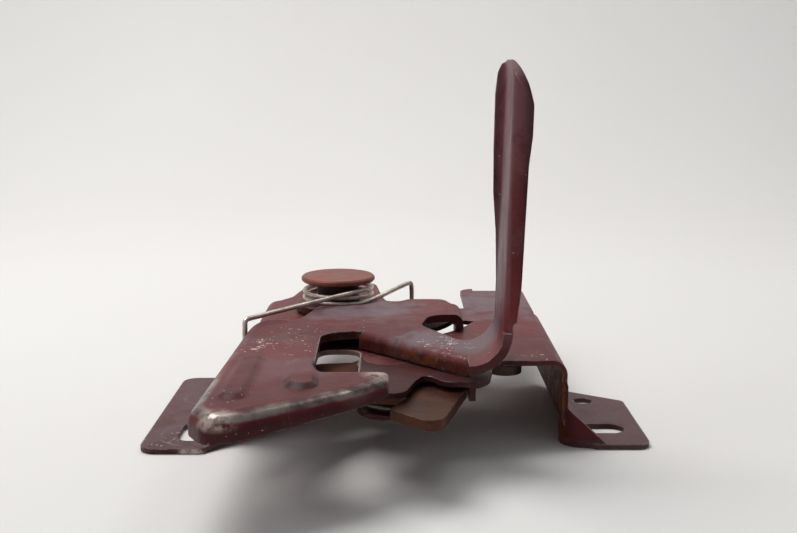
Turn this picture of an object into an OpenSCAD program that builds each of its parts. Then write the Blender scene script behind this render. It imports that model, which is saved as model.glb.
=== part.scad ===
// Bonnet latch: a folded base plate carries a safety lever with hook and handle,
// a primary claw and its release pawl. Lengths in mm, the feet stand on z = 0.
// X runs across the feet, the striker enters along +Y, Z points off the seat.

/* [Base plate] */
// Sheet thickness of the base plate
sheet = 1.6; // [1.4:0.1:2.2]
// Height of the upper face above the seat
top_z = 27; // [26.5:0.1:30]
// Outer face of the left side wall from the middle
left_wall = 51; // [50:0.5:54]
// Outer face of the right side wall from the middle
right_wall = 52.2; // [51:0.2:54]
// Outer edge of the left foot from the middle
left_foot = 79.5; // [77:0.5:84]
// Outer edge of the right foot from the middle
right_foot = 78; // [77:0.5:84]
// Outer radius of the bend from top to wall
top_bend = 4.5; // [3.5:0.5:6]
// Outer radius of the sweep from wall to foot
foot_bend = 10.5; // [9:0.5:11]
// Width of the fixing slots
slot_w = 9; // [7:0.5:10]
// Length of the left fixing slots
left_slot_l = 18; // [15:1:20]
// Length of the right fixing slot
right_slot_l = 14; // [12:1:15]
// Distance between the two rows of fixings
row_pitch = 33; // [31:1:35]
// Distance of each fixing column from the middle
column_x = 65; // [64:0.5:67]
// Locating hole diameter in the right foot
locating_d = 6.5; // [5:0.5:8]

/* [Striker way] */
// Centre line of the striker way
way_x = -18.7; // [-20:0.1:-17]
// Width of the striker way
way_w = 13.4; // [11:0.2:14]
// Closed end of the striker way
way_end_y = -18.2; // [-19:0.2:-17]
// Diameter of the striker bar
striker_d = 8; // [7:0.5:8.5]

/* [Safety lever] */
// Lever sheet thickness
lever_t = 2.6; // [2.2:0.1:3]
// Lever pivot across
pivot_x = -22.3; // [-23:0.1:-21]
// Lever pivot along
pivot_y = 40.5; // [40:0.1:41]
// Left edge of the lever beside its spring
lever_left = -50.2; // [-50.6:0.1:-49.6]
// Outward flare of the left edge towards the nose in degrees
left_flare = 2; // [1:0.1:2.5]
// Outer radius of the rolled nose and left edge
nose_roll = 5; // [4:0.5:5.5]
// Height of the rolled nose at its left end
nose_h = 7.6; // [7:0.1:7.8]
// Rise of the nose's lower edge towards the tip
nose_rise = 3.2; // [0:0.2:3.6]
// Clearance of the arm flange above the base plate
flange_gap = 0.6; // [0.4:0.1:1]
// Inner face of the handle web
handle_x = 29.6; // [29:0.2:30]
// Inner radius of the handle bend
handle_bend = 9.5; // [8:0.5:11]
// Top of the handle above the seat
handle_top = 118.4; // [105:0.2:125]
// Outward lean of the handle in degrees
handle_lean = 1.4; // [0:0.1:2]
// Front edge of the handle strip
handle_front = -60; // [-61:0.5:-59]
// Rear edge of the handle strip
handle_rear = -29.5; // [-30:0.5:-28]
// Release travel of the lever in degrees
lever_travel = 15; // [10:1:15]

/* [Lever pivot] */
// Diameter of the lever rivet shank
lever_shank_d = 12; // [10:0.5:13]
// Diameter of the lever rivet head
lever_head_d = 27; // [24:0.5:30]
// Thickness of the lever rivet head
lever_head_t = 2; // [1.5:0.1:3]
// Outside diameter of the spring collar
collar_d = 15.5; // [15:0.5:18]
// Height of the spring collar
collar_h = 7.7; // [7:0.1:9]
// Thickness of the lever washer
lever_washer_t = 0.5; // [0.4:0.1:0.6]
// Wire diameter of the lever spring
lever_wire_d = 1.7; // [1.4:0.1:1.8]
// Mean coil radius of the lever spring
lever_coil_r = 12.3; // [11.5:0.1:12.6]

/* [Claw and pawl] */
// Claw and pawl plate thickness
claw_t = 3; // [2.6:0.1:3.6]
// Claw pivot across
claw_x = -3; // [-3.3:0.1:-2.7]
// Claw pivot along
claw_y = -28; // [-28.3:0.1:-27.7]
// Swing of the claw from open to latched in degrees
claw_swing = 60; // [55:1:60]
// Diameter of the claw rivet shank
claw_shank_d = 12; // [10:0.5:12]
// Cam radius of the claw
cam_r = 15; // [14.5:0.1:15]
// Pawl pivot across
pawl_x = 22; // [21.8:0.1:22.4]
// Pawl pivot along
pawl_y = -3; // [-3.2:0.1:-2.8]
// Diameter of the pawl rivet shank
pawl_shank_d = 10; // [8:0.5:10]
// Thickness of the claw and pawl washers
plate_washer_t = 1.2; // [1:0.1:1.5]
// Wire diameter of the claw spring
claw_wire_d = 1.6; // [1.2:0.1:1.6]
// Wire diameter of the pawl spring
pawl_wire_d = 1.2; // [1:0.1:1.3]

/* [Fits] */
// Play between moving flat faces
play = 0.3; // [0.3:0.05:0.4]
// Radial clearance of a turning bore
bore_gap = 0.06; // [0.03:0.01:0.1]
// Radial clearance of a riveted hole
rivet_gap = 0.03; // [0.02:0.01:0.05]

/* [Hidden] */
$fn = 64;
eps = 0.01;
under_z = top_z - sheet;
pivot = [pivot_x, pivot_y];
claw_pivot = [claw_x, claw_y];
pawl_pivot = [pawl_x, pawl_y];
// Heights of the lever: a low hub on its washer and the main plate one sheet higher
hub_z = top_z + lever_washer_t + play;
lever_z = hub_z + lever_t;
lever_top = lever_z + lever_t;
flange_z = top_z + flange_gap;
hub_r = 15.5;
nose_back = -60;
joggle_in = 15.9;
joggle_out = 20.1;
collar_z = hub_z + lever_t + play;
head_z = collar_z + collar_h;
// Heights of the claw and pawl layer under the base plate
claw_top = under_z - plate_washer_t - play;
claw_z = claw_top - claw_t;
front_row = -23.5;
rear_row = front_row + row_pitch;
lean_axis = [handle_x - handle_bend, lever_top + handle_bend];

// Directions and rounded outlines

function unit(v) = v / norm(v);

function flat(v) = [v[0], v[1]];

// Centre, start angle and sweep of the arc that rounds corner b
function corner_arc(a, b, c) =
  let (u = unit(flat(a) - flat(b)), w = unit(flat(c) - flat(b)))
  let (half = acos(u * w) / 2, m = flat(b) + unit(u + w) * b[2] / sin(half))
  let (t1 = flat(b) + u * b[2] / tan(half), t2 = flat(b) + w * b[2] / tan(half))
  let (a1 = atan2(t1[1] - m[1], t1[0] - m[0]), a2 = atan2(t2[1] - m[1], t2[0] - m[0]))
  [m, a1, (a2 - a1 + 540) % 360 - 180];

// Outline from corners [x, y, radius]
function rounded(v) = [
  for (i = [0 : len(v) - 1])
    let (a = v[(i + len(v) - 1) % len(v)], b = v[i], c = v[(i + 1) % len(v)])
    each b[2] == 0 ? [flat(b)] : arc_points(corner_arc(a, b, c), b[2])
];

function arc_points(k, r) =
  let (n = max(2, ceil(abs(k[2]) / 12)))
  [for (j = [0 : n]) k[0] + r * [cos(k[1] + k[2] * j / n), sin(k[1] + k[2] * j / n)]];

// Carries a section from p to q, its x axis pointing to the left of the way
module along(p, q) {
  translate([p[0], p[1], 0]) rotate([0, 0, atan2(q[1] - p[1], q[0] - p[0])])
    rotate([90, 0, 90]) linear_extrude(norm(q - p)) children();
}

// Part of a ring between two angles
function ring_part(inner, outer, a1, a2) = concat(
  arc_points([[0, 0], a1, a2 - a1], outer),
  arc_points([[0, 0], a2, a1 - a2], inner)
);

// Section of a downturned sheet edge, outer face at x = 0 and the sheet towards +x
module lip_section(r, t, top, bottom) {
  polygon(rounded([
    [r, top, 0], [0, top, r], [0, bottom, 0], [t, bottom, 0], [t, top - t, r - t], [r, top - t, 0]
  ]));
}

// Round wire along a run of points
function run_dir(p, i) = unit(p[min(i + 1, len(p) - 1)] - p[max(i - 1, 0)]);

function side_step(n, t) = unit(n - (n * t) * t);

function wire_frames(p) = [
  for (i = 0, n = side_step([0.31, 0.17, 0.93], run_dir(p, 0)); i < len(p);
    i = i + 1, n = i < len(p) ? side_step(n, run_dir(p, i)) : n) n
];

module wire(p, d, sides = 8) {
  n = wire_frames(p);
  points = [
    for (i = [0 : len(p) - 1], j = [0 : sides - 1])
      p[i] + d / 2 * (cos(360 * j / sides) * n[i] + sin(360 * j / sides) * cross(run_dir(p, i), n[i]))
  ];
  skin = [
    for (i = [0 : len(p) - 2], j = [0 : sides - 1])
      let (k = (j + 1) % sides)
      [i * sides + j, (i + 1) * sides + j, (i + 1) * sides + k, i * sides + k]
  ];
  first = [for (j = [0 : sides - 1]) j];
  last = [for (j = [sides - 1 : -1 : 0]) (len(p) - 1) * sides + j];
  polyhedron(points, concat([first], skin, [last]));
}

// Coil of a torsion spring about a vertical axis
function coil(c, r, a1, sweep, z1, z2, steps) = [
  for (i = [0 : steps])
    let (a = a1 + sweep * i / steps)
    [c[0] + r * cos(a), c[1] + r * sin(a), z1 + (z2 - z1) * i / steps]
];

// Base plate

// Half of the folded section, outside from the middle to the foot and back inside
function hat_half(s, wall, foot) = [
  [s * wall, top_z, top_bend], [s * wall, sheet, foot_bend - sheet], [s * (foot + 1), sheet, 0],
  [s * (foot + 1), 0, 0], [s * (wall - sheet), 0, foot_bend],
  [s * (wall - sheet), under_z, top_bend - sheet]
];

function reverse(v) = [for (i = [len(v) - 1 : -1 : 0]) v[i]];

module hat_section() {
  polygon(rounded(concat(hat_half(1, right_wall, right_foot), reverse(hat_half(-1, left_wall, left_foot)))));
}

// Plan of the folded sheet: feet, walls, two prongs beside the striker way and the rear lobe
module hat_plan() {
  way_l = way_x - way_w / 2;
  way_r = way_x + way_w / 2;
  polygon(rounded([
    [right_wall + 0.5, -31.6, 1.5], [61, -36, 3], [right_foot, -36, 4], [right_foot, 9.5, 3], [61, 20.5, 3],
    [right_wall + 0.2, 37, 1], [46, 37, 0], [46, 44, 0], [-2, 44, 4], [-6.5, 66, 10], [-10, 97, 11],
    [-36, 97, 14], [-41.5, 65, 8], [-46, 57.5, 4], [-left_wall - 0.5, 56, 3], [-left_wall - 0.5, 44, 3],
    [-60, 38.5, 3], [-left_foot, 38.5, 5], [-left_foot, -40.2, 5], [-60, -40.2, 3],
    [-left_wall - 0.5, -31.6, 1.5], [-44, -31.6, 5], [-43, -61, 6],
    [way_l - 3.5, -66, 5], [way_l, -57, 4], [way_l, way_end_y, 5], [way_r, way_end_y, 5],
    [way_r, -57, 4], [way_r + 3.5, -66, 4], [1.5, -66, 4], [5, -53, 4], [8, -46, 2], [13, -54.8, 5],
    [26, -54.8, 6], [29.5, -31.6, 4]
  ]));
}

// Plain rear wing that carries the cable tab
module wing_plan() {
  polygon(rounded([[24.8, 30, 0], [46, 30, 0], [49.8, 37, 0], [49.8, 81, 6], [24.8, 81, 6]]));
}

// Web that turns the front end of the right wall outward and runs down to the foot
web_inner = right_wall - sheet - 0.05;
web_outer = right_wall - 0.05;
web_front = -33.2;
web_end = 65.4;
web_slope = tan(10);
web_top = 12;

module web_plan() {
  set_back = sheet / cos(10);
  end_y = web_front - web_slope * (web_end - web_inner);
  polygon(rounded([
    [web_inner, -26, 0], [web_inner, web_front, 6], [web_end, end_y, 0], [web_end, end_y + set_back, 0],
    [web_outer, web_front - web_slope * sheet + set_back, 6 - sheet], [web_outer, -26, 0]
  ]));
}

module front_web() {
  lift = 0.02;
  intersection() {
    linear_extrude(top_z) web_plan();
    rotate([90, 0, 0]) linear_extrude(60)
      polygon([[web_inner - 1, lift], [web_inner - 1, 21.5], [right_wall - 0.5, 21.5],
      [right_wall + 0.2, 19],
        [right_wall + 0.3, web_top], [web_end - 0.8, sheet - 0.4], [web_end - 0.8, lift]]);
  }
}

module slot_cut(x, y, along_x, along_y) {
  r = slot_w / 2;
  deep = 2 * sheet;
  for (s = [-1, 1])
    translate([x + s * along_x / 2, y + s * along_y / 2, -eps]) cylinder(h = deep, r = r);
  translate([x - max(along_x / 2, r * sign(along_y)), y - max(along_y / 2, r * sign(along_x)), -eps])
    cube([max(along_x, 2 * r * sign(along_y)), max(along_y, 2 * r * sign(along_x)), deep]);
}

// Curved slot for the stop tongue of the lever
stop_inner = 44.6;
stop_outer = 52.3;
stop_from = -19.8;
stop_to = -33.2 - lever_travel;

module stop_slot() {
  translate([pivot_x, pivot_y, under_z - eps])
    rotate([0, 0, stop_to])
      rotate_extrude(angle = stop_from - stop_to)
        translate([stop_inner, 0]) square([stop_outer - stop_inner, sheet + 2 * eps]);
}

// Tabs under the plate: claw stop, spring anchors
claw_tab = [6.2, -9.3];
pawl_tab = [36, 4.4];
stop_tab = [20.4, -52];

module hanging_tab(corner, w, l, bottom) {
  translate([corner[0], corner[1], bottom]) cube([w, l, under_z - bottom + eps]);
}

module cable_tab() {
  r = 3.1;
  difference() {
    along([45, 81], [30, 81]) lip_section(top_bend, sheet, top_z, 8);
    translate([37.5, 85, 15]) rotate([90, 0, 0]) cylinder(h = 10, r = r);
    translate([37.5 - r, 75, 7]) cube([2 * r, 10, 8]);
  }
}

module base_plate() color([0.2, 0.11, 0.12]) {
  claw_hole = claw_shank_d / 2 + rivet_gap;
  pawl_hole = pawl_shank_d / 2 + rivet_gap;
  difference() {
    union() {
      intersection() {
        translate([0, 120, 0]) rotate([90, 0, 0]) linear_extrude(240) hat_section();
        translate([0, 0, -1]) linear_extrude(top_z + 2) hat_plan();
      }
      difference() {
        translate([0, 0, under_z]) linear_extrude(sheet) wing_plan();
        translate([29.9, 81 - top_bend, under_z - 1]) cube([15.2, 20, sheet + 2]);
      }
      cable_tab();
      front_web();
      hanging_tab(claw_tab, 5, 2, 10.8);
      hanging_tab(pawl_tab, 2, 6, 12);
      hanging_tab(stop_tab, 2, 8, claw_z - 0.5);
    }
    slot_cut(-column_x, front_row, 0, left_slot_l - slot_w);
    slot_cut(-column_x, rear_row, 0, left_slot_l - slot_w);
    slot_cut(column_x + 0.5, front_row + 3, right_slot_l - slot_w, 0);
    translate([column_x - 1, rear_row, -eps]) cylinder(h = sheet + 2 * eps, d = locating_d);
    translate([pivot_x, pivot_y, under_z - eps])
      cylinder(h = sheet + 2 * eps, r = lever_shank_d / 2 + rivet_gap);
    translate([claw_x, claw_y, under_z - eps]) cylinder(h = sheet + 2 * eps, r = claw_hole);
    translate([claw_x, claw_y, top_z - 1.2])
      cylinder(h = 1.2 + eps, r1 = claw_hole, r2 = claw_hole + 2.2);
    translate([pawl_x, pawl_y, under_z - eps]) cylinder(h = sheet + 2 * eps, r = pawl_hole);
    translate([pawl_x, pawl_y, top_z - 1.2])
      cylinder(h = 1.2 + eps, r1 = pawl_hole, r2 = pawl_hole + 2.2);
    translate([-39.5, 22, under_z - eps]) cylinder(h = sheet + 2 * eps, r = 2);
    stop_slot();
  }
}

// Safety lever

// Straight facets of the rolled nose in order: a point on each and its heading
left_start = [lever_left, -15];
left_facet = [left_start, -90 - left_flare];
main_facets = [
  left_facet, [[-50.2, -101], -60], [[-47.4, -104.6], -22], [[-43.1, -104.9], 13],
  [[-24.2, -93.1], 36.6], [[-7.2, -79.2], 52]
];

function heading(a) = [cos(a), sin(a)];

function leftward(a) = [-sin(a), cos(a)];

// Where two facets meet
function meet(f, g) =
  f[0] + heading(f[1]) * ((g[0] - f[0]) * leftward(g[1])) / (heading(f[1]) * leftward(g[1]));

// Facets with one more between each two, which takes a little off their corner
function softened(v, off) = [
  for (i = [0 : len(v) - 1])
    each i == 0 ? [v[0]] :
      let (a = (v[i - 1][1] + v[i][1]) / 2)
      [[meet(v[i - 1], v[i]) + off * leftward(a), a], v[i]]
];

nose_facets = softened(softened(main_facets, 0.32), 0.08);
arm_end = lean_axis[0] - 0.2;
arm_run = [[-12.6, -18], [arm_end, -51.4]];
arm_roll = 2.9;
branch_x = 18.8;
branch_front = 6.6;
branch_rear = 24.3;

// Space inside the rolled edges, set in by part of the sheet
module edge_space(inset, low) {
  high = lever_top - inset;
  module inside(p, a) {
    translate([p[0], p[1], 0]) rotate([0, 0, a]) rotate([90, 0, 90]) linear_extrude(600, center = true)
      polygon(rounded([[inset, low, 0], [inset, high, nose_roll - inset], [300, high, 0], [300, low, 0]]));
  }
  intersection() {
    inside(left_start, left_facet[1]);
    union() {
      intersection_for (f = nose_facets) inside(f[0], f[1]);
      translate([-70, nose_back, low]) cube([130, 120, high - low]);
    }
  }
}

module lever_plan() {
  polygon(rounded([
    [lever_left - 2, -14, 0], [lever_left - 8, -24, 0], [lever_left - 8, -115, 0], [-8, -90, 0],
    [-2.6, -78, 0], [-2.8, -65.4, 3.5], [-23.9, -65.8, 4], [-24.4, -20, 7], [-13.4, -17.2, 1],
    [arm_end, -51.8, 0], [arm_end, handle_front, 0], [lean_axis[0], handle_front, 0],
    [lean_axis[0], handle_rear, 0], [18, handle_rear + 1.4, 4], [7.2, -9, 8], [10.6, 6.6, 7],
    [branch_x, branch_front, 0], [branch_x, branch_rear, 0], [16.2, 32.3, 4], [3.5, 32.3, 3],
    [-1.2, 25.8, 4], [-7.5, 33.5, 3], [-10, 38, 0], [pivot_x, pivot_y, 0], [-29, 32, 0],
    [-27.5, 22, 4], [-31, 7, 8], [-34, -4, 3.5], [-42.5, 1, 5]
  ]));
  translate(pivot) circle(hub_r);
}

// Raised pad pressed into the hook plate: round-ended, with sloping sides
module pressed_pad(c, turn, half, r, rise) {
  slope = 2;
  below = lever_t / 2;
  translate([c[0], c[1], lever_top]) rotate([0, 0, turn])
    intersection_for (a = [0 : 22.5 : 337.5])
      rotate([0, 0, a]) rotate([90, 0, 0]) linear_extrude(200, center = true)
        polygon([[-90, -below], [half * abs(sin(a)) + r, -below], [half * abs(sin(a)) + r, 0],
          [half * abs(sin(a)) + r - slope, rise], [-90, rise]]);
}

module lever_pads() {
  pressed_pad([-42.6, -70], -1, 17.5, 4.2, 1);
  intersection() {
    pressed_pad([-26.6, -68], 4, 9.8, 4.8, 1.2);
    translate([0, 0, lever_z]) linear_extrude(2 * lever_t) lever_plan();
  }
}

module handle_elevation() {
  h = handle_top - lean_axis[1];
  polygon(rounded([
    [-0.1, -eps, 0], [lever_t, -eps, 0], [lever_t, 2.6, 0.5], [3.5, 3.4, 0.8], [4.3, 0.18 * h, 20],
    [4.8, 0.62 * h, 20], [5.55, 0.73 * h, 8], [5.55, h - 12, 6], [4, h - 6.6, 5], [0.2, h + 2, 1.2],
    [-1.9, h - 3.8, 4], [-2.4, h - 10, 6], [-2.25, 0.65 * h, 16], [-1.9, 0.48 * h, 10],
    [-0.8, 0.33 * h, 10], [-0.1, 0.13 * h, 6]
  ]));
}

module handle_side() {
  h = handle_top - lean_axis[1];
  crown = handle_front + 0.6 * (handle_rear - handle_front);
  polygon(rounded([
    [handle_front, -eps, 0], [handle_rear, -eps, 0], [handle_rear, 0.26 * h, 10],
    [handle_rear + 2, 0.66 * h, 10], [handle_rear + 2, h - 1.2, 5], [crown, h + 0.9, 14],
    [handle_front, h - 3.4, 8]
  ]));
}

// Flanged handle section: rolled front edge outward, small rear lip inward
module handle_section() {
  r = 4.2;
  inner = r - lever_t;
  rear = handle_rear + 2;
  polygon(rounded([
    [0, handle_front, r], [9, handle_front, 0], [9, handle_front + lever_t, 0],
    [lever_t, handle_front + lever_t, inner], [lever_t, rear, r], [-6, rear, 0],
    [-6, rear - lever_t, 0], [0, rear - lever_t, inner]
  ]));
}

module handle() {
  translate([lean_axis[0], 0, lean_axis[1]]) {
    translate([0, handle_rear, 0]) rotate([90, 0, 0])
      linear_extrude(handle_rear - handle_front)
        polygon(ring_part(handle_bend, handle_bend + lever_t, -90, -handle_lean));
    rotate([0, handle_lean, 0]) translate([handle_bend, 0, 0]) intersection() {
      translate([0, 0, -eps]) linear_extrude(handle_top) handle_section();
      translate([0, 100, 0]) rotate([90, 0, 0]) linear_extrude(200) handle_elevation();
      translate([-20, 0, 0]) rotate([90, 0, 90]) linear_extrude(60) handle_side();
    }
  }
}

// Rear branch turned down, with a tongue through the curved slot
module stop_tongue() {
  r = 3.4;
  side = branch_x + r;
  along([side, branch_front], [side, branch_rear]) lip_section(r, lever_t, lever_top, flange_z);
  translate([side - lever_t, branch_rear - 10.3, claw_top - 1])
    cube([lever_t, 10, flange_z - claw_top + 1 + eps]);
}

module safety_lever() color([0.22, 0.12, 0.13]) difference() {
  low = lever_top - nose_h;
  union() {
    difference() {
      intersection() {
        translate([0, 0, low - 1]) linear_extrude(nose_h + 2) lever_plan();
        edge_space(0, low);
      }
      edge_space(lever_t, low - 2);
      translate([-65, -45, low - 3]) cube([65, 60, flange_z - low + 3]);
      translate([0, -45 - eps, 0]) rotate([90, 0, 0]) linear_extrude(80)
        polygon([[-65, low - 4], [0, low - 4], [0, low + nose_rise], [lever_left, low], [-65, low]]);
      translate([pivot_x, pivot_y, low - 2]) cylinder(h = nose_h + 4, r = joggle_out - eps);
      along(arm_run[0], arm_run[1]) translate([-6, lever_z - 1]) square([6 + arm_roll, lever_t + 2]);
    }
    intersection() {
      translate([pivot_x, pivot_y, 0]) rotate_extrude()
        polygon([[0, hub_z], [joggle_in, hub_z], [joggle_out, lever_z], [joggle_out, lever_top],
          [joggle_in, lever_z], [0, lever_z]]);
      translate([0, 0, hub_z - 1]) linear_extrude(3 * lever_t) lever_plan();
    }
    along(arm_run[0], arm_run[1]) lip_section(arm_roll, lever_t, lever_top, flange_z);
    lever_pads();
    handle();
    stop_tongue();
  }
  translate([pivot_x, pivot_y, hub_z - 1])
    cylinder(h = lever_t + 2, r = lever_shank_d / 2 + bore_gap);
}

module lever_rivet() color([0.35, 0.27, 0.25]) translate([pivot_x, pivot_y, 0]) {
  r = lever_head_d / 2;
  rotate_extrude()
    polygon([[0, under_z - 2.2], [9, under_z - 2.2], [10, under_z - 1.2], [10, under_z],
      [lever_shank_d / 2, under_z], [lever_shank_d / 2, head_z], [r - 0.5, head_z], [r, head_z + 0.5],
      [r, head_z + lever_head_t - 0.6], [r - 0.6, head_z + lever_head_t], [0, head_z + lever_head_t]]);
}

module ring(c, z, h, inner, outer) {
  translate([c[0], c[1], z]) difference() {
    cylinder(h = h, r = outer);
    translate([0, 0, -1]) cylinder(h = h + 2, r = inner);
  }
}

module lever_washer() color([0.6, 0.58, 0.5])
  ring(pivot, top_z, lever_washer_t, lever_shank_d / 2 + rivet_gap, 13);

module spring_collar() color([0.15, 0.12, 0.12])
  ring(pivot, collar_z, collar_h, lever_shank_d / 2 + rivet_gap, collar_d / 2);

module lever_spring() color([0.75, 0.73, 0.7]) {
  a = 317;
  r = lever_coil_r;
  z1 = collar_z + lever_wire_d / 2 + 0.1;
  z2 = z1 + 4.6;
  way = [sin(a), -cos(a)];
  off = pivot + r * [cos(a), sin(a)];
  edge = lever_left - 0.1;
  reach = (edge + 0.5 - off[0]) / way[0];
  left = off + way * reach;
  right = off - way * 26;
  wire(concat(
    [[right[0] + 0.6, right[1] + 0.6, top_z - 3], [right[0] + 0.6, right[1] + 0.6, z1 + 2.8],
      [right[0], right[1], z1 + 3.7], [right[0] + way[0] * 1.5, right[1] + way[1] * 1.5, z1 + 3.8],
      [off[0] - way[0] * 12, off[1] - way[1] * 12, z1 + 1.4],
      [off[0] - way[0] * 4, off[1] - way[1] * 4, z1 + 0.2]],
    coil(pivot, r, a, -720, z1, z2, 60),
    [[off[0] + way[0] * 20, off[1] + way[1] * 20, z2 - 0.6],
      [left[0] - way[0] * 2, left[1] - way[1] * 2, z2 - 1.6], [left[0], left[1], z2 - 1.7],
      [edge, left[1] - 0.9, z2 - 2.4], [edge, left[1] - 1.2, z2 - 3.5],
      [edge, left[1] - 1.8, flange_z + 0.6]]
  ), lever_wire_d);
}

// Claw in its open position

seat_r = 15.5;
seat_a = 172.6 + claw_swing;
mouth_a = 188 + claw_swing;
seat = claw_pivot + seat_r * [cos(seat_a), sin(seat_a)];
throat_r = striker_d / 2 + 1;
claw_hook = [10.7, -41.7];

// One outline: cam, pawl step, hub, lower jaw, throat, upper jaw
module claw_plan() {
  step_a = claw_swing - 4.5;
  deep = 0.97 * throat_r;
  out = [cos(mouth_a), sin(mouth_a)];
  aside = throat_r * [-sin(mouth_a), cos(mouth_a)];
  left = seat - aside;
  right = seat + aside;
  polygon(rounded(concat(
    [for (p = arc_points([claw_pivot, -14, step_a + 14], cam_r)) [p[0], p[1], 0]],
    [for (p = arc_points([claw_pivot, step_a, 28], 11)) [p[0], p[1], 0]],
    [for (p = arc_points([claw_pivot, step_a + 28, 70], 13)) [p[0], p[1], 0]],
    [[-27, -24, 5], [-31, -42, 4]],
    [for (p = [left + 13.5 * out]) [p[0], p[1], 2]],
    [for (p = [left - deep * out]) [p[0], p[1], deep]],
    [for (p = [right - deep * out]) [p[0], p[1], deep]],
    [for (p = [right + 14 * out]) [p[0], p[1], 2]],
    [[3.6, -58, 2.5], [-2.6, -70.9, 1.5], [10.8, -84.2, 4], [20.1, -49, 8], [20.1, -44, 3]]
  )));
}

module claw() color([0.45, 0.4, 0.37]) translate([0, 0, claw_z]) difference() {
  linear_extrude(claw_t) claw_plan();
  translate([claw_x, claw_y, -1]) cylinder(h = claw_t + 2, r = claw_shank_d / 2 + bore_gap);
  translate([claw_hook[0], claw_hook[1], -1]) cylinder(h = claw_t + 2, r = claw_wire_d / 2 + play);
}

// Countersunk shouldered rivet under the plate
module shoulder_rivet(c, d, bottom, flange) {
  r = d / 2;
  translate([c[0], c[1], 0]) rotate_extrude()
    polygon([[0, bottom], [r + flange, bottom], [r + flange, bottom + 1.4], [r, bottom + 1.4],
    [r, top_z - 1.2],
      [r + 2.2, top_z], [0, top_z]]);
}

module claw_rivet() color([0.5, 0.47, 0.44]) shoulder_rivet(claw_pivot, claw_shank_d, 10, 4);

module claw_washer() color([0.6, 0.58, 0.5])
  ring(claw_pivot, under_z - plate_washer_t, plate_washer_t, claw_shank_d / 2 + rivet_gap, 10);

module claw_spring() color([0.7, 0.68, 0.65]) {
  r = 8.2;
  z1 = 12.6;
  z2 = claw_z - play - claw_wire_d / 2;
  x = claw_pivot[0] + r;
  wire(concat(
    [[x, -4.5, z1], [x, -16, z1]],
    coil(claw_pivot, r, 0, -1060, z1, z2, 54),
    [[claw_hook[0] - 0.6, claw_hook[1] + 1.4, z2], [claw_hook[0] - 0.1, claw_hook[1] + 0.2, z2 + 0.4],
      [claw_hook[0], claw_hook[1], z2 + 1.3], [claw_hook[0], claw_hook[1], claw_top - 0.5]]
  ), claw_wire_d, 6);
}

// Pawl resting on the cam

pawl_hook = [26.5, -14];
cable_eye = [33.5, -21.5];

module pawl_plan() {
  nose_x = claw_x + cam_r + play + 0.1;
  difference() {
    union() {
      translate(pawl_pivot) circle(8);
      translate(cable_eye) circle(5.5);
      polygon(rounded([
        [pawl_x - 7.8, pawl_y - 1.5, 0], [nose_x + 0.2, -18, 6], [nose_x, -29.3, 0.6], [18.5, -29.3, 1],
        [18.8, -22, 4], [26, -9, 0], [pawl_x, pawl_y, 0]
      ]));
      polygon([[pawl_x - 2, pawl_y - 7], [28.9, -24.5], [38.1, -18.5], [pawl_x + 7.5, pawl_y - 1]]);
    }
    translate(pawl_pivot) circle(pawl_shank_d / 2 + bore_gap);
    translate(cable_eye) circle(2.4);
    translate(pawl_hook) circle(pawl_wire_d / 2 + play);
  }
}

module pawl() color([0.45, 0.4, 0.37]) translate([0, 0, claw_z]) linear_extrude(claw_t) pawl_plan();

module pawl_rivet() color([0.5, 0.47, 0.44]) shoulder_rivet(pawl_pivot, pawl_shank_d, 12, 3.5);

module pawl_washer() color([0.6, 0.58, 0.5])
  ring(pawl_pivot, under_z - plate_washer_t, plate_washer_t, pawl_shank_d / 2 + rivet_gap, 8);

module pawl_spring() color([0.7, 0.68, 0.65]) {
  r = 6.5;
  z1 = 14.2;
  z2 = claw_z - play - pawl_wire_d / 2;
  y = pawl_y + r;
  wire(concat(
    [[41, y, z1], [32, y, z1]],
    coil(pawl_pivot, r, 90, 865, z1, z2, 44),
    [[pawl_hook[0] - 1.3, pawl_hook[1] + 0.9, z2], [pawl_hook[0] - 0.2, pawl_hook[1] + 0.1, z2 + 0.4],
      [pawl_hook[0], pawl_hook[1], z2 + 1.2], [pawl_hook[0], pawl_hook[1], claw_top - 0.5]]
  ), pawl_wire_d, 6);
}

base_plate();
safety_lever();
lever_rivet();
lever_washer();
spring_collar();
lever_spring();
claw();
claw_rivet();
claw_washer();
claw_spring();
pawl();
pawl_rivet();
pawl_washer();
pawl_spring();
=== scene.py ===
import math

import bmesh
import bpy
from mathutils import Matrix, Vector


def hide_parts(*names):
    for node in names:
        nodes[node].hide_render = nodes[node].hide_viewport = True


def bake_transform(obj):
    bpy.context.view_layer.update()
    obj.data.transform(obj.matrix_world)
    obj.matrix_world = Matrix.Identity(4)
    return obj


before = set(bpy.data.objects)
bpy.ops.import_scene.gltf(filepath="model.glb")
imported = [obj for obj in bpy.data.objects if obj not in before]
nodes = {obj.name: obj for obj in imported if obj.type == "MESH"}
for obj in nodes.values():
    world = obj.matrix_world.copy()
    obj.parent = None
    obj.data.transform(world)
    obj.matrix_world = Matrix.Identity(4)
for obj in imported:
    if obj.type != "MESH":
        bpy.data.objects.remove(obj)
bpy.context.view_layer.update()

MM = 0.001

# Places on the part, in mm
LEVER_TOP = 33.0
LEVER_PIVOT = (-22.3, 40.5)
CLAW_PIVOT = (-3, -28)
PAWL_PIVOT = (22, -3)

# Radius of shaded edges on painted sheets, plain steel and wire, in mm
EDGE_ROUND = 0.45
STEEL_ROUND = 0.35
WIRE_ROUND = 0.2

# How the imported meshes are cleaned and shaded, in mm and degrees
WELD_REACH = 0.004
FLAT_ANGLE = 0.4
SMOOTH_ANGLE = 20

# Wires of the three springs, in mm
LEVER_WIRE = 1.7
CLAW_WIRE = 1.6
PAWL_WIRE = 1.2

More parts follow.
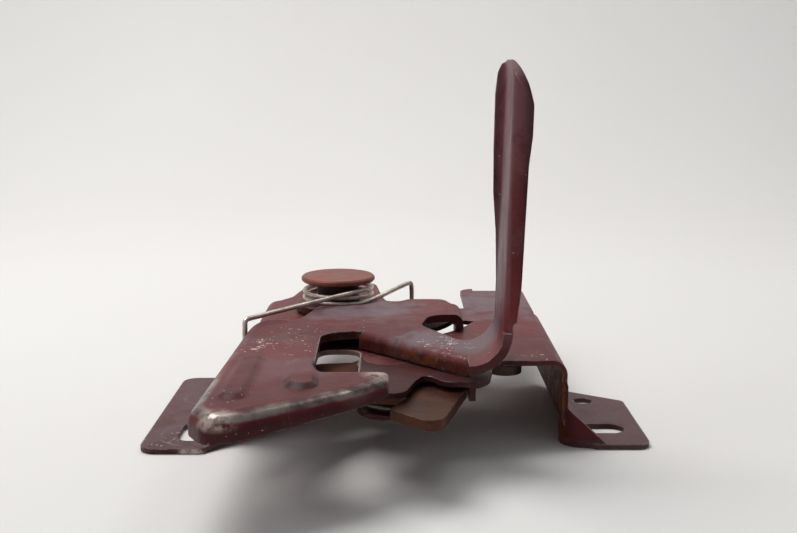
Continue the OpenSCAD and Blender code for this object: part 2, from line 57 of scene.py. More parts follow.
# Camera that matches the photograph, in metres, degrees and mm
CAMERA_PLACE = (0, -0.3616, 0.116)
CAMERA_PITCH = 10.216
CAMERA_LENS = 50
CAMERA_SENSOR = 36


def srgb(r, g, b):
    """Linear colour from 0 to 255 display values."""
    def lin(c):
        c = c / 255
        return c / 12.92 if c <= 0.04045 else ((c + 0.055) / 1.055) ** 2.4
    return (lin(r), lin(g), lin(b), 1.0)


RAGGED = 2.2  # how far a patch's outline strays, as a share of its radius


class Shader:
    """One procedural material; its methods add nodes and hand back output sockets."""

    def __init__(self, name):
        self.material = bpy.data.materials.new(name)
        self.material.use_nodes = True
        self.tree = self.material.node_tree
        self.tree.nodes.clear()
        out = self.node("ShaderNodeOutputMaterial")
        self.bsdf = self.node("ShaderNodeBsdfPrincipled")
        self.link(self.bsdf.outputs[0], out.inputs[0])
        coords = self.node("ShaderNodeTexCoord").outputs["Object"]
        scaled = self.node("ShaderNodeVectorMath", operation="SCALE")
        self.link(coords, scaled.inputs[0])
        scaled.inputs["Scale"].default_value = 1 / MM
        self.at = scaled.outputs[0]  # place on the part in mm
        split = self.node("ShaderNodeSeparateXYZ")
        self.link(self.at, split.inputs[0])
        self.x, self.y, self.z = split.outputs
        geometry = self.node("ShaderNodeNewGeometry")
        self.normal = geometry.outputs["Normal"]
        up = self.node("ShaderNodeSeparateXYZ")
        self.link(self.normal, up.inputs[0])
        self.up = up.outputs[2]

    def node(self, kind, **values):
        """New node with some of its properties set."""
        n = self.tree.nodes.new(kind)
        for k, v in values.items():
            setattr(n, k, v)
        return n

    def link(self, a, b):
        """Joins output a to input b."""
        self.tree.links.new(a, b)

    def put(self, value, socket):
        """Links an output to a socket, or sets a plain value on it."""
        if isinstance(value, bpy.types.NodeSocket):
            self.link(value, socket)
        else:
            socket.default_value = value

    def math(self, op, a, b=0.0, clamp=False):
        """Result of one math node."""
        n = self.node("ShaderNodeMath", operation=op, use_clamp=clamp)
        self.put(a, n.inputs[0])
        self.put(b, n.inputs[1])
        return n.outputs[0]

    def mul(self, *values):
        """Product of all values."""
        r = values[0]
        for v in values[1:]:
            r = self.math("MULTIPLY", r, v)
        return r

    def most(self, *values):
        """Largest of all values."""
        r = values[0]
        for v in values[1:]:
            r = self.math("MAXIMUM", r, v)
        return r

    def step(self, value, low, high):
        """0 at low and 1 at high, with soft ends; low may be the larger."""
        n = self.node("ShaderNodeMapRange", interpolation_type="SMOOTHSTEP")
        flip = low > high
        self.put(value, n.inputs[0])
        n.inputs[1].default_value, n.inputs[2].default_value = min(low, high), max(low, high)
        n.inputs[3].default_value, n.inputs[4].default_value = (1.0, 0.0) if flip else (0.0, 1.0)
        return n.outputs[0]

    def noise(self, size, detail=3.0, rough=0.55, stretch=(1, 1, 1), twist=0.0, shift=0.0):
        """Noise with features of about size mm."""
        place = self.node("ShaderNodeMapping")
        self.link(self.at, place.inputs["Vector"])
        place.inputs["Location"].default_value = (shift, shift * 1.7, shift * 0.6)
        place.inputs["Scale"].default_value = tuple(s / size for s in stretch)
        n = self.node("ShaderNodeTexNoise")
        self.link(place.outputs[0], n.inputs["Vector"])
        n.inputs["Scale"].default_value = 1.0
        n.inputs["Detail"].default_value = detail
        n.inputs["Roughness"].default_value = rough
        n.inputs["Distortion"].default_value = twist
        return n.outputs[0]

    def away(self, x, y):
        """Distance in plan from a point, in mm."""
        flat = self.node("ShaderNodeCombineXYZ")
        self.link(self.x, flat.inputs[0])
        self.link(self.y, flat.inputs[1])
        n = self.node("ShaderNodeVectorMath", operation="DISTANCE")
        self.link(flat.outputs[0], n.inputs[0])
        n.inputs[1].default_value = (x, y, 0)
        return n.outputs["Value"]

    def near(self, x, y, inner, outer):
        """1 within inner mm of a point in plan, 0 beyond outer mm."""
        return self.step(self.away(x, y), outer, inner)

    def patch(self, x, y, inner, outer):
        """Like near, with a ragged outline."""
        wave = self.math("SUBTRACT", self.noise(8, 4, 0.6, shift=x), 0.5)
        ragged = self.mul(wave, RAGGED * outer)
        return self.step(self.math("ADD", self.away(x, y), ragged), outer, inner)

    def band(self, value, low, high, soft):
        """1 between low and high, with both ends softened."""
        rise = self.step(value, low - soft, low + soft)
        return self.mul(rise, self.step(value, high + soft, high - soft))

    def rounded(self, radius):
        """Normal that runs round sharp edges within radius mm."""
        n = self.node("ShaderNodeBevel", samples=8)
        if isinstance(radius, bpy.types.NodeSocket):
            self.link(self.mul(radius, MM), n.inputs["Radius"])
        else:
            n.inputs["Radius"].default_value = radius * MM
        return n.outputs[0]

    def hollows(self, reach):
        """1 deep in corners, 0 in the open, judged within reach mm."""
        n = self.node("ShaderNodeAmbientOcclusion", samples=6)
        n.inputs["Distance"].default_value = reach * MM
        return self.step(n.outputs["AO"], 0.85, 0.3)

    def edges(self, radius):
        """1 on sharp outer and inner edges, from a rounded normal within radius mm."""
        dot = self.node("ShaderNodeVectorMath", operation="DOT_PRODUCT")
        self.link(self.rounded(radius), dot.inputs[0])
        self.link(self.normal, dot.inputs[1])
        return self.step(dot.outputs["Value"], 0.985, 0.86)

    def mix(self, share, a, b):
        """Colour between a and b."""
        n = self.node("ShaderNodeMix", data_type="RGBA")
        self.put(share, n.inputs["Factor"])
        colours = [s for s in n.inputs if s.type == "RGBA"]
        self.put(a, colours[0])
        self.put(b, colours[1])
        return [s for s in n.outputs if s.type == "RGBA"][0]

    def blend(self, share, a, b):
        """Number between a and b."""
        n = self.node("ShaderNodeMix", data_type="FLOAT")
        self.put(share, n.inputs["Factor"])
        numbers = [s for s in n.inputs if s.type == "VALUE" and s.name in ("A", "B")]
        self.put(a, numbers[0])
        self.put(b, numbers[1])
        return [s for s in n.outputs if s.type == "VALUE"][0]

    def faces_down(self):
        """1 on faces that look down."""
        return self.step(self.up, -0.2, -0.6)

    def upright(self):
        """0 on faces that look up, 1 on walls and undersides."""
        return self.step(self.up, 0.5, 0.1)

    def on_feet(self):
        """1 on the two feet of the base."""
        return self.step(self.z, 3, 2)

    def bumps(self, edge_round, *layers, strength=1.0):
        """Chain of bumps, each (height, depth in mm), over edges rounded by edge_round mm."""
        normal = self.rounded(edge_round)
        for height, depth in layers:
            n = self.node("ShaderNodeBump")
            n.inputs["Distance"].default_value = depth * MM
            self.put(strength, n.inputs["Strength"])
            self.link(height, n.inputs["Height"])
            self.link(normal, n.inputs["Normal"])
            normal = n.outputs[0]
        self.link(normal, self.bsdf.inputs["Normal"])

    def surface(self, colour, rough, metal=None):
        """Main values of the shader."""
        self.put(colour, self.bsdf.inputs["Base Color"])
        self.put(rough, self.bsdf.inputs["Roughness"])
        if metal is not None:
            self.put(metal, self.bsdf.inputs["Metallic"])


# Colours of paint, steel and dirt, some also used for painted shade and painted sheen
PAINT = srgb(110, 43, 46)
SHADE = srgb(90, 34, 37)
HAZE_AND_SHEEN = srgb(112, 98, 103)
BARE = srgb(158, 149, 142)
DULL = srgb(92, 82, 78)
CHIP = srgb(214, 202, 194)
PALE = srgb(178, 163, 154)
RUST = srgb(122, 64, 32)
SOOT_AND_SHADE = srgb(40, 22, 21)
GRIME = srgb(104, 78, 64)


def worn_paint(name, shift, bare_at, chips_at, rust_and_reflection_at, haze_and_sheen_at, painted_shade_at, pale_at, round_at):
    """Old thin paint on pressed steel: mottled, chipped, and rubbed bare on edges, with painted
    shade and a painted grey sheen in its colour.
    """
    s = Shader(name)
    wide = s.noise(46, 2, 0.5, shift=shift)
    middle = s.noise(11, 4, 0.6, shift=shift + 3, twist=0.4)
    fine = s.noise(1.6, 4, 0.65, shift=shift + 7)
    grain = s.noise(0.4, 2, 0.5, shift=shift)
    colour = s.mix(s.step(wide, 0.34, 0.66), SHADE, PAINT)
    # Greyer patches: chalky paint at random, and painted grey sheen in the patches the part names
    haze_and_sheen = s.most(s.mul(s.step(middle, 0.5, 0.74), 0.3),
                  s.mul(haze_and_sheen_at(s), s.step(middle, 0.2, 0.5), 0.85))
    colour = s.mix(haze_and_sheen, colour, HAZE_AND_SHEEN)
    colour = s.mix(s.mul(s.step(middle, 0.48, 0.28), 0.4), colour, SOOT_AND_SHADE)
    # Painted shade: darker in hollows and in the places the part names, such as walls and
    # undersides
    colour = s.mix(s.most(painted_shade_at(s), s.mul(s.hollows(5), 0.5)), colour, SOOT_AND_SHADE)
    colour = s.mix(s.mul(s.step(fine, 0.56, 0.72), 0.16), colour, HAZE_AND_SHEEN)
    rust = s.mul(rust_and_reflection_at(s), s.step(s.noise(4, 5, 0.7, shift=shift + 11), 0.4, 0.56))
    # Rust; on the base's right wall it is laid on heavily and also stands in for a painted reddish
    # reflection
    colour = s.mix(s.mul(rust, 0.85), colour, RUST)
    # scratches and chips: short strokes in clusters, where the part is knocked
    stroke = s.noise(1.0, 2, 0.5, stretch=(0.5, 1, 1), twist=0.3, shift=shift + 5)
    other = s.noise(0.85, 2, 0.5, stretch=(1, 0.5, 1), twist=0.3, shift=shift + 8)
    cluster = s.step(s.noise(5, 3, 0.6, shift=shift + 13), 0.36, 0.6)
    bias = s.mul(s.math("SUBTRACT", s.mul(chips_at(s), cluster), 1.0), 0.15)
    chip = s.step(s.math("ADD", s.most(stroke, other), bias), 0.63, 0.66)
    # rubbed edges break up with the grain of the wear
    rub = s.mul(s.edges(0.6), s.step(s.noise(3.5, 4, 0.7, shift=shift + 2), 0.38, 0.6))
    bare = s.most(s.mul(rub, 0.75), bare_at(s))
    broad = s.noise(6, 3, 0.5, shift=shift + 17)
    metal_colour = s.mix(s.step(broad, 0.36, 0.64), DULL, BARE)
    colour = s.mix(bare, colour, metal_colour)
    colour = s.mix(s.mul(chip, 0.92), colour, CHIP)
    pale = pale_at(s)
    colour = s.mix(pale, colour, PALE)
    rough = s.blend(s.step(middle, 0.3, 0.7), 0.36, 0.5)
    rough = s.blend(rust, rough, 0.75)
    rough = s.blend(bare, rough, s.blend(s.step(broad, 0.36, 0.64), 0.32, 0.2))
    s.surface(colour, rough, s.mul(s.math("SUBTRACT", bare, pale, clamp=True), 0.85))
    s.bsdf.inputs["Specular IOR Level"].default_value = 0.13
    unchipped = s.math("SUBTRACT", 1.0, chip)
    s.bumps(round_at(s), (middle, 0.07), (fine, 0.03), (grain, 0.01), (unchipped, 0.03),
            strength=s.blend(bare, 1.0, 0.35))
    return s.material


def lever_bare(s):
    """Rolled nose, mouth edge and the rubbed front of the arm."""
    worn = s.noise(2.2, 4, 0.65, shift=4)
    wave = s.mul(s.math("SUBTRACT", s.noise(17, 3, 0.5, shift=9), 0.5), 0.3)
    tilt = s.math("ADD", s.up, wave)
    roll = s.mul(s.band(tilt, 0.6, 0.94, 0.12), s.step(s.y, -64, -72),
                 s.step(s.z, 27, 28.5), s.step(s.z, LEVER_TOP, LEVER_TOP - 0.2))
    mouth = s.mul(s.edges(1.0), s.band(s.y, -66, -15, 2), s.band(s.x, -26, -10, 1.5),
                  s.step(worn, 0.3, 0.46))
    arm = s.mul(s.near(17, -41, 2, 11), s.step(worn, 0.54, 0.66), 0.5)
    return s.most(s.mul(roll, 0.92), mouth, arm)


def lever_pale(s):
    """Scuffed hook tip, nose corner and end of the arm's folded edge."""
    worn = s.noise(2.2, 4, 0.6, shift=4)
    tip = s.mul(s.near(-4.5, -67, 2, 7.5), s.step(s.z, 27, 29), 0.9)
    corner = s.mul(s.near(-45, -104, 1.5, 7), s.step(s.up, 0.05, 0.4), 0.8)
    fold = s.mul(s.near(17, -45, 2, 8), s.band(s.up, 0.75, 0.93, 0.08),
                 s.step(s.noise(0.9, 3, 0.6), 0.52, 0.62), 0.7)
    return s.most(s.mul(s.most(tip, corner), s.step(worn, 0.32, 0.62)), fold)


def lever_chips(s):
    """Knocks on the flat top: a row along the left, its edge, the arm and the nose."""
    top = s.step(s.up, 0.8, 0.95)
    row = s.mul(s.band(s.y, -48, -8, 7), s.band(s.x, -46, -20, 5), 0.75)
    edge = s.mul(s.near(-45, -35, 4, 14), 1.12)
    arm = s.mul(s.near(13, -34, 6, 15), 1.05)
    nose = s.mul(s.near(-47, -90, 4, 12), 0.8)
    return s.math("ADD", s.mul(s.most(row, edge, arm, nose), top), 0.12)


def lever_rust(s):
    """Rust on the arm's flange, one spot on the top, and the underside."""
    flange = s.mul(s.step(s.up, 0.75, 0.3), s.band(s.x, -14, 22, 3), s.band(s.y, -54, -16, 3),
                   s.step(s.z, LEVER_TOP + 1, LEVER_TOP))
    patch = s.mul(flange, s.near(7, -36, 4, 11))
    spot = s.near(-37, 3, 0.8, 2.6)
    return s.most(patch, spot, s.mul(flange, 0.35), s.mul(s.faces_down(), 0.5))


def lever_haze_and_sheen(s):
    """Chalky paint and painted grey sheen round the hub and on the hook, the arm, its bend and the
    handle.
    """
    bend = s.mul(s.band(s.x, 16, 31.6, 2), s.band(s.y, -46, -26, 5), s.step(s.z, 90, 45), 0.9)
    web = s.mul(s.step(s.x, 31.6, 30.9), s.step(s.z, 42, 55), 0.35)
    handle = s.most(s.mul(s.step(s.z, 70, 105), 0.45), web)
    hub = s.most(s.patch(-24, 10, 2, 20), s.patch(-9, 15, 4, 25))
    return s.most(hub, s.patch(11, -28, 4, 16), bend, handle, s.mul(s.patch(-28, -60, 5, 18), 0.4))


def lever_painted_shade(s):
    """Painted shade on low walls, the handle's right side, the left rib and the foot of the mouth's
    pad.
    """
    rib = s.mul(s.step(s.x, -50, -45), s.step(s.x, -38.8, -40), s.band(s.y, -92, -46, 3), 0.3)
    pad = s.mul(s.step(s.up, 0.98, 0.92), s.step(s.y, -72, -75), s.band(s.x, -33, -20, 1),
                s.step(s.z, LEVER_TOP, LEVER_TOP + 0.1), 0.6)
    low = s.mul(s.step(s.up, 0.6, 0.1), s.step(s.z, 44, 36), 0.6)
    flange = s.mul(s.step(s.x, 33, 36), s.step(s.z, 36, 44), 0.5)
    return s.most(low, flange, rib, pad)


def lever_round(s):
    """Radius of the edges in mm: wide on the pressed pads and the rolled handle."""
    rib = s.mul(s.band(s.x, -47.5, -37.5, 0.5), s.band(s.y, -93, -47, 1))
    pad = s.mul(s.band(s.x, -33, -23.4, 0.5), s.band(s.y, -84, -53, 1))
    pads = s.mul(s.most(rib, pad), s.step(s.z, LEVER_TOP - 0.6, LEVER_TOP - 0.2))
    handle = s.step(s.z, 42, 54)
    return s.math("ADD", s.most(s.mul(pads, 1.5), s.mul(handle, 1.9)), EDGE_ROUND)


def base_bare(s):
    """Rubbed edges of the feet, the torn front corner and one long scratch."""
    worn = s.noise(1.8, 4, 0.65, shift=14)
    foot = s.mul(s.edges(1.2), s.on_feet(), s.step(s.noise(6, 4, 0.6, shift=3), 0.5, 0.6))
    torn = s.mul(s.near(-63, -40, 2.5, 5), s.step(s.up, 0.9, 0.5), s.step(worn, 0.34, 0.5))
    line = s.mul(s.band(s.away(-60, -20), 18.2, 18.6, 0.25), s.step(s.x, -62, -63),
                 s.step(s.y, -31, -33), s.step(worn, 0.3, 0.45))
    return s.most(s.mul(foot, 0.6), torn, line)


def base_pale(s):
    """Rims and walls of the striker way, polished by the striker."""
    worn = s.noise(1.8, 4, 0.65, shift=14)
    way = s.mul(s.edges(1.3), s.band(s.x, -28, -9, 1), s.band(s.y, -58, -14, 2),
                s.step(s.z, 24, 25))
    wall = s.mul(s.band(s.x, -27, -10.5, 0.5), s.band(s.y, -54, -16, 2), s.step(s.z, 24, 25),
                 s.step(s.up, 0.4, 0.1), 0.6)
    return s.mul(s.most(way, wall), s.step(worn, 0.3, 0.48), 0.85)


def base_chips(s):
    """Knocks on the front right corner and the left foot."""
    corner = s.mul(s.near(43, -27, 5, 13), 0.95)
    left = s.mul(s.near(-70, -30, 6, 22), 0.75)
    return s.math("ADD", s.mul(s.most(corner, left), s.step(s.up, 0.7, 0.9)), 0.1)


def base_rust_and_reflection(s):
    """Rust beside the hub and on the underside; on the right wall, heavy rust that is also a
    painted reddish reflection.
    """
    wall = s.mul(s.step(s.x, 43, 46), s.step(s.z, 25, 22), s.upright(), s.step(s.x, 53, 51), 0.9)
    return s.most(s.mul(s.faces_down(), 0.6), s.mul(s.near(-33, 30, 3, 14), 0.5), wall)


def base_haze(s):
    """Weathered rear, and prints of the fixing washers round the slots."""
    prints = [s.band(s.away(-67, y), 7, 9, 0.8) for y in (-25, 13)]
    foot = s.mul(s.most(s.mul(s.on_feet(), 0.6), *prints), s.on_feet())
    return s.most(s.patch(36, 55, 4, 40), foot)


def base_painted_shade(s):
    """Painted shade on the walls, the prongs and the underside; the feet darker all over."""
    inside = s.mul(s.upright(), s.step(s.z, 25, 22), 0.4)
    prongs = s.mul(s.step(s.x, -37, -31), s.step(s.x, 40, 34), s.step(s.y, -20, -30),
                   s.step(s.z, 15, 18), 0.7)
    feet = s.mul(s.on_feet(), 0.3)
    return s.most(inside, prongs, feet, s.mul(s.faces_down(), 0.4))


def base_round(_):
    """Radius of the edges in mm, the same all over."""
    return EDGE_ROUND


lever_paint = worn_paint("lever_paint", 0.0, lever_bare, lever_chips, lever_rust,
                         lever_haze_and_sheen, lever_painted_shade, lever_pale, lever_round)
base_paint = worn_paint("base_paint", 21.0, base_bare, base_chips, base_rust_and_reflection,
                        base_haze, base_painted_shade, base_pale, base_round)


def plain_steel(name, dark, light, rust, metal, shift):
    """Uncoated steel, smudged and stained, with a breath of rust."""
    s = Shader(name)
    smudge = s.noise(8, 3, 0.5, shift=shift + 2)
    stain = s.noise(3, 4, 0.6, shift=shift + 4, twist=0.3)
    fine = s.noise(0.6, 3, 0.6, shift=shift + 5)
    colour = s.mix(s.step(smudge, 0.32, 0.68), dark, light)
    colour = s.mix(s.mul(s.step(stain, 0.52, 0.74), 0.35), colour, SOOT_AND_SHADE)
    spots = s.mul(s.step(fine, 0.56, 0.72), s.step(smudge, 0.3, 0.55), rust)
    colour = s.mix(spots, colour, RUST)
    rub = s.mul(s.edges(0.4), s.step(s.noise(2.5, 3, 0.6, shift=shift), 0.42, 0.6))
    colour = s.mix(s.mul(rub, 0.45), colour, BARE)
    rough = s.blend(s.step(smudge, 0.35, 0.65), 0.38, 0.52)
    s.surface(colour, s.blend(spots, rough, 0.75), s.blend(spots, metal, metal * 0.3))
    s.bsdf.inputs["Specular IOR Level"].default_value = 0.2
    s.bumps(STEEL_ROUND, (stain, 0.04), (fine, 0.015))
    return s.material


# Claw and pawl: dark oiled steel, darkened further with painted shade for lying under the base
# plate
claw_shaded_steel = plain_steel("claw_shaded_steel", srgb(50, 25, 15), srgb(80, 46, 29), 0.35, 0.15, 31.0)
pawl_shaded_steel = plain_steel("pawl_shaded_steel", srgb(58, 42, 36), srgb(84, 68, 58), 0.3, 0.3, 37.0)
rivet_steel = plain_steel("rivet_steel", srgb(120, 66, 57), srgb(140, 82, 71), 0.25, 0.15, 43.0)
dark_rivet = plain_steel("dark_rivet", srgb(84, 40, 40), srgb(104, 56, 55), 0.2, 0.1, 47.0)
washer_steel = plain_steel("washer_steel", srgb(128, 120, 114), srgb(158, 150, 142), 0.3, 0.8, 51.0)
collar_steel = plain_steel("collar_steel", srgb(50, 27, 25), srgb(70, 42, 38), 0.3, 0.1, 57.0)


def spring_wire(name, dark, light, shift):
    """Drawn wire with a dulled plating and grime in patches."""
    s = Shader(name)
    patch = s.noise(6, 4, 0.6, shift=shift)
    fine = s.noise(0.5, 3, 0.6, shift=shift + 3)
    colour = s.mix(s.step(patch, 0.35, 0.62), dark, light)
    colour = s.mix(s.mul(s.step(fine, 0.58, 0.7), 0.5), colour, GRIME)
    rough = s.blend(s.step(fine, 0.4, 0.65), 0.28, 0.46)
    s.surface(colour, rough, s.blend(s.step(fine, 0.58, 0.7), 0.85, 0.4))
    s.bumps(WIRE_ROUND, (fine, 0.012))
    return s.material


wire_look = spring_wire("wire_look", srgb(176, 163, 152), srgb(216, 205, 194), 61.0)
dull_wire = spring_wire("dull_wire", srgb(84, 74, 68), srgb(120, 110, 102), 67.0)


def smooth_by_angle(degrees):
    """Node group that smooths all edges flatter than an angle and keeps the rest sharp."""
    group = bpy.data.node_groups.new("smooth_by_angle", "GeometryNodeTree")
    for way in ("INPUT", "OUTPUT"):
        group.interface.new_socket("Geometry", in_out=way, socket_type="NodeSocketGeometry")
    first = group.nodes.new("NodeGroupInput")
    last = group.nodes.new("NodeGroupOutput")
    angle = group.nodes.new("GeometryNodeInputMeshEdgeAngle")
    flatter = group.nodes.new("FunctionNodeCompare")
    flatter.data_type = "FLOAT"
    flatter.operation = "LESS_THAN"
    flatter.inputs[1].default_value = math.radians(degrees)
    faces = group.nodes.new("GeometryNodeSetShadeSmooth")
    edges = group.nodes.new("GeometryNodeSetShadeSmooth")
    edges.domain = "EDGE"
    group.links.new(first.outputs[0], faces.inputs["Geometry"])
    group.links.new(faces.outputs[0], edges.inputs["Geometry"])
    group.links.new(angle.outputs["Unsigned Angle"], flatter.inputs[0])
    group.links.new(flatter.outputs[0], edges.inputs["Shade Smooth"])
    group.links.new(edges.outputs[0], last.inputs[0])
    return group


smoothing = smooth_by_angle(SMOOTH_ANGLE)


def dress(name, material):
    """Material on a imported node, with its bends shaded smooth and its flats flat."""
    o = nodes[name]
    o.data.materials.clear()
    o.data.materials.append(material)
    weld = o.modifiers.new("weld", "WELD")
    weld.merge_threshold = WELD_REACH * MM
    flat = o.modifiers.new("flat", "DECIMATE")
    flat.decimate_type = "DISSOLVE"
    flat.angle_limit = math.radians(FLAT_ANGLE)
    soft = o.modifiers.new("soft", "NODES")
    soft.node_group = smoothing
    smooth = o.modifiers.new("smooth", "WEIGHTED_NORMAL")
    smooth.keep_sharp = True


dress("safety_lever", lever_paint)
dress("base_plate", base_paint)
dress("claw", claw_shaded_steel)
dress("pawl", pawl_shaded_steel)
dress("lever_rivet", rivet_steel)
dress("claw_rivet", dark_rivet)
dress("pawl_rivet", dark_rivet)
for washer in ("lever_washer", "claw_washer", "pawl_washer"):
    dress(washer, washer_steel)
dress("spring_collar", collar_steel)

# Springs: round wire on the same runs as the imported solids


def soften(run, rounds=2):
    """Corner cutting that keeps the two ends."""
    for _ in range(rounds):
        cut = [run[0]]
        for a, b in zip(run, run[1:]):
            cut += [a.lerp(b, 0.25), a.lerp(b, 0.75)]
        run = cut + [run[-1]]
    return run


def helix(centre, r, start, sweep, z1, z2, steps):
    """Points of a coil from height z1 to z2; start and sweep are in degrees."""
    cx, cy = centre
    run = []
    for i in range(steps + 1):
        a = math.radians(start + sweep * i / steps)
        run.append(Vector((cx + r * math.cos(a), cy + r * math.sin(a), z1 + (z2 - z1) * i / steps)))
    return run


WIRE_SIDES = 14
SHORTEST_STEP = 0.02  # mm; closer points on a run are dropped
DOME, DOME_SHARE = 0.08, 0.8  # height in mm and width of a wire's end


def wire_mesh(name, run, d, material):
    """Tube of round wire along points in mm, with slightly domed ends."""
    run = [p for i, p in enumerate(run) if i == 0 or (p - run[i - 1]).length > SHORTEST_STEP]
    last = len(run) - 1
    ways = [(run[min(i + 1, last)] - run[max(i - 1, 0)]).normalized() for i in range(len(run))]
    across = ways[0].orthogonal().normalized()
    rings, bm = [], bmesh.new()
    spots = [(run[0] - ways[0] * DOME, DOME_SHARE, ways[0])]
    spots += [(p, 1.0, w) for p, w in zip(run, ways)]
    spots += [(run[-1] + ways[-1] * DOME, DOME_SHARE, ways[-1])]
    for p, share, w in spots:
        across = (across - w * across.dot(w)).normalized()
        other = w.cross(across)
        ring = []
        for k in range(WIRE_SIDES):
            a = math.tau * k / WIRE_SIDES
            out = across * math.cos(a) + other * math.sin(a)
            ring.append(bm.verts.new((p + out * d / 2 * share) * MM))
        rings.append(ring)
    for a, b in zip(rings, rings[1:]):
        for k in range(WIRE_SIDES):
            after = (k + 1) % WIRE_SIDES
            bm.faces.new((a[k], a[after], b[after], b[k]))
    bm.faces.new(list(reversed(rings[0])))
    bm.faces.new(rings[-1])
    bmesh.ops.recalc_face_normals(bm, faces=bm.faces)
    mesh = bpy.data.meshes.new(name)
    bm.to_mesh(mesh)
    bm.free()
    for p in mesh.polygons:
        p.use_smooth = len(p.vertices) == 4
    o = bpy.data.objects.new(name, mesh)
    bpy.context.scene.collection.objects.link(o)
    mesh.materials.append(material)
    return o


def lever_spring_run():
    """Leg hooked into the base, two turns round the hub, leg hooked over the lever's edge."""
    (px, py), r, leave = LEVER_PIVOT, 12.3, 317
    a = math.radians(leave)
    low, high = 31.65, 36.25
    way = Vector((math.sin(a), -math.cos(a), 0))
    off = Vector((px + r * math.cos(a), py + r * math.sin(a), 0))
    edge = -50.3
    left = off + way * ((edge + 0.5 - off.x) / way.x)
    right = off - way * 26
    up = Vector((0, 0, 1))
    lead = [
        Vector((right.x + 0.6, right.y + 0.6, 24)),
        Vector((right.x + 0.6, right.y + 0.6, low + 2.8)),
        right + up * (low + 3.7), right + way * 1.5 + up * (low + 3.8),
        off - way * 12 + up * (low + 1.4), off - way * 4 + up * (low + 0.2),
    ]
    coil = helix(LEVER_PIVOT, r, leave, -720, low, high, 150)
    tail = [
        off + way * 20 + up * (high - 0.6), left - way * 2 + up * (high - 1.6),
        left + up * (high - 1.7),
        Vector((edge, left.y - 0.9, high - 2.4)), Vector((edge, left.y - 1.2, high - 3.5)),
        Vector((edge, left.y - 1.8, 28.2)),
    ]
    return soften(lead + [coil[0]])[:-1] + coil + soften([coil[-1]] + tail)[1:]


HOOK_TOP = 23.4  # height at which the claw and pawl springs end in their holes


def claw_spring_run():
    """Leg along the base, nearly three turns, and an end hooked up into the claw."""
    r, low, high = 8.2, 12.6, 19.8
    side = CLAW_PIVOT[0] + r
    hook = Vector((10.7, -41.7, 0))
    lead = [Vector((side, -4.5, low)), Vector((side, -16, low))]
    coil = helix(CLAW_PIVOT, r, 0, -1060, low, high, 150)
    tail = [hook + Vector((-0.6, 1.4, high)), hook + Vector((-0.1, 0.2, high + 0.4)),
            hook + Vector((0, 0, high + 1.3)), hook + Vector((0, 0, HOOK_TOP))]
    return lead + coil + soften([coil[-1]] + tail)[1:]


def pawl_spring_run():
    """Leg to the base's wall, over two turns, and an end hooked up into the pawl."""
    r, low, high = 6.5, 14.2, 20.0
    side = PAWL_PIVOT[1] + r
    hook = Vector((26.5, -14, 0))
    lead = [Vector((41, side, low)), Vector((32, side, low))]
    coil = helix(PAWL_PIVOT, r, 90, 865, low, high, 130)
    tail = [hook + Vector((-1.3, 0.9, high)), hook + Vector((-0.2, 0.1, high + 0.4)),
            hook + Vector((0, 0, high + 1.2)), hook + Vector((0, 0, HOOK_TOP))]
    return lead + coil + soften([coil[-1]] + tail)[1:]


lever_wire = wire_mesh("lever_spring_wire", lever_spring_run(), LEVER_WIRE, wire_look)
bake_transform(lever_wire)
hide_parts("lever_spring")
claw_wire = wire_mesh("claw_spring_wire", claw_spring_run(), CLAW_WIRE, dull_wire)
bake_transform(claw_wire)
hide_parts("claw_spring")
pawl_wire = wire_mesh("pawl_spring_wire", pawl_spring_run(), PAWL_WIRE, dull_wire)
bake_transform(pawl_wire)
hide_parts("pawl_spring")

# Stage: pale floor that sweeps up behind, soft lights, the photograph's view


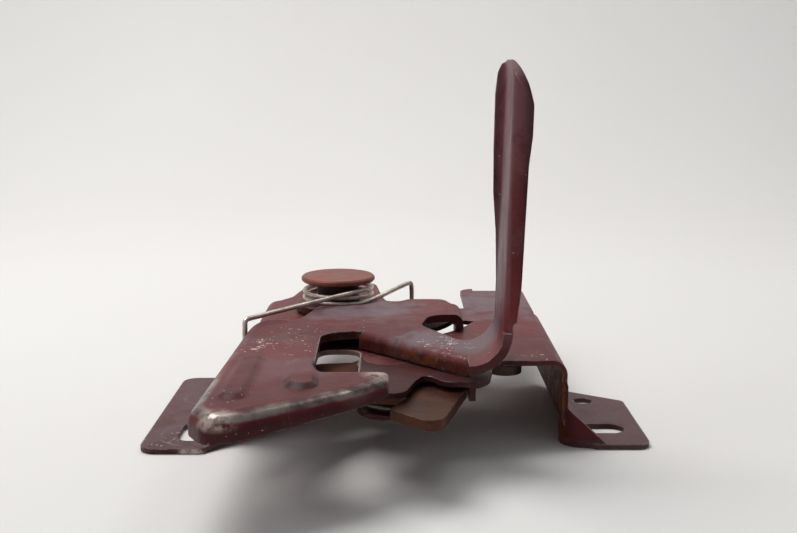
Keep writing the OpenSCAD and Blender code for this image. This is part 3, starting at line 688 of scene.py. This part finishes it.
def sweep_stage():
    """Floor and backdrop in one curved sheet."""
    bm = bmesh.new()
    front, wall_y, top, r, half = -5.0, 0.75, 2.2, 0.3, 5.0
    profile = [(front, 0.0), (wall_y - r, 0.0)]
    for degrees in range(6, 91, 6):
        a = math.radians(degrees)
        profile.append((wall_y - r + r * math.sin(a), r - r * math.cos(a)))
    profile.append((wall_y, top))
    rows = [[bm.verts.new((x, y, z)) for x in (-half, half)] for y, z in profile]
    for a, b in zip(rows, rows[1:]):
        bm.faces.new((a[0], a[1], b[1], b[0]))
    mesh = bpy.data.meshes.new("stage_sweep")
    bm.to_mesh(mesh)
    bm.free()
    for p in mesh.polygons:
        p.use_smooth = True
    o = bpy.data.objects.new("stage_sweep", mesh)
    o.location.z = -0.1 * MM  # just under the feet, so that no two faces share a plane
    bpy.context.scene.collection.objects.link(o)
    s = Shader("stage_paper")
    tone = s.noise(240, 2, 0.5)
    s.surface(s.mix(tone, srgb(226, 223, 220), srgb(232, 230, 227)), 0.9)
    mesh.materials.append(s.material)


sweep_stage()


LIGHT_AIM = Vector((0, -0.01, 0.03))


def soft_light(name, place, size, watts):
    """Rectangular light that looks at the middle of the part."""
    data = bpy.data.lights.new(name, "AREA")
    data.shape = "RECTANGLE"
    data.size, data.size_y = size
    data.energy = watts
    o = bpy.data.objects.new(name, data)
    bpy.context.scene.collection.objects.link(o)
    o.location = place
    o.rotation_euler = (LIGHT_AIM - Vector(place)).to_track_quat("-Z", "Y").to_euler()


soft_light("key_light", (-0.3, 0.2, 0.95), (0.7, 0.6), 7.9)
soft_light("front_light", (-0.8, -0.5, 0.75), (0.6, 0.4), 1.6)
soft_light("side_light", (0.5, 0.42, 0.9), (0.3, 0.3), 1.2)

scene = bpy.context.scene
world = bpy.data.worlds.new("studio")
scene.world = world
world.use_nodes = True
sky = world.node_tree.nodes["Background"]
sky.inputs["Color"].default_value = (0.94, 0.96, 1.0, 1.0)
sky.inputs["Strength"].default_value = 0.25

camera_data = bpy.data.cameras.new("camera")
camera_data.sensor_width = CAMERA_SENSOR
camera_data.lens = CAMERA_LENS
camera_data.clip_start = 0.01
camera = bpy.data.objects.new("camera", camera_data)
scene.collection.objects.link(camera)
camera.location = CAMERA_PLACE
camera.rotation_euler = (math.radians(90 - CAMERA_PITCH), 0, 0)
scene.camera = camera
scene.view_settings.view_transform = "Standard"
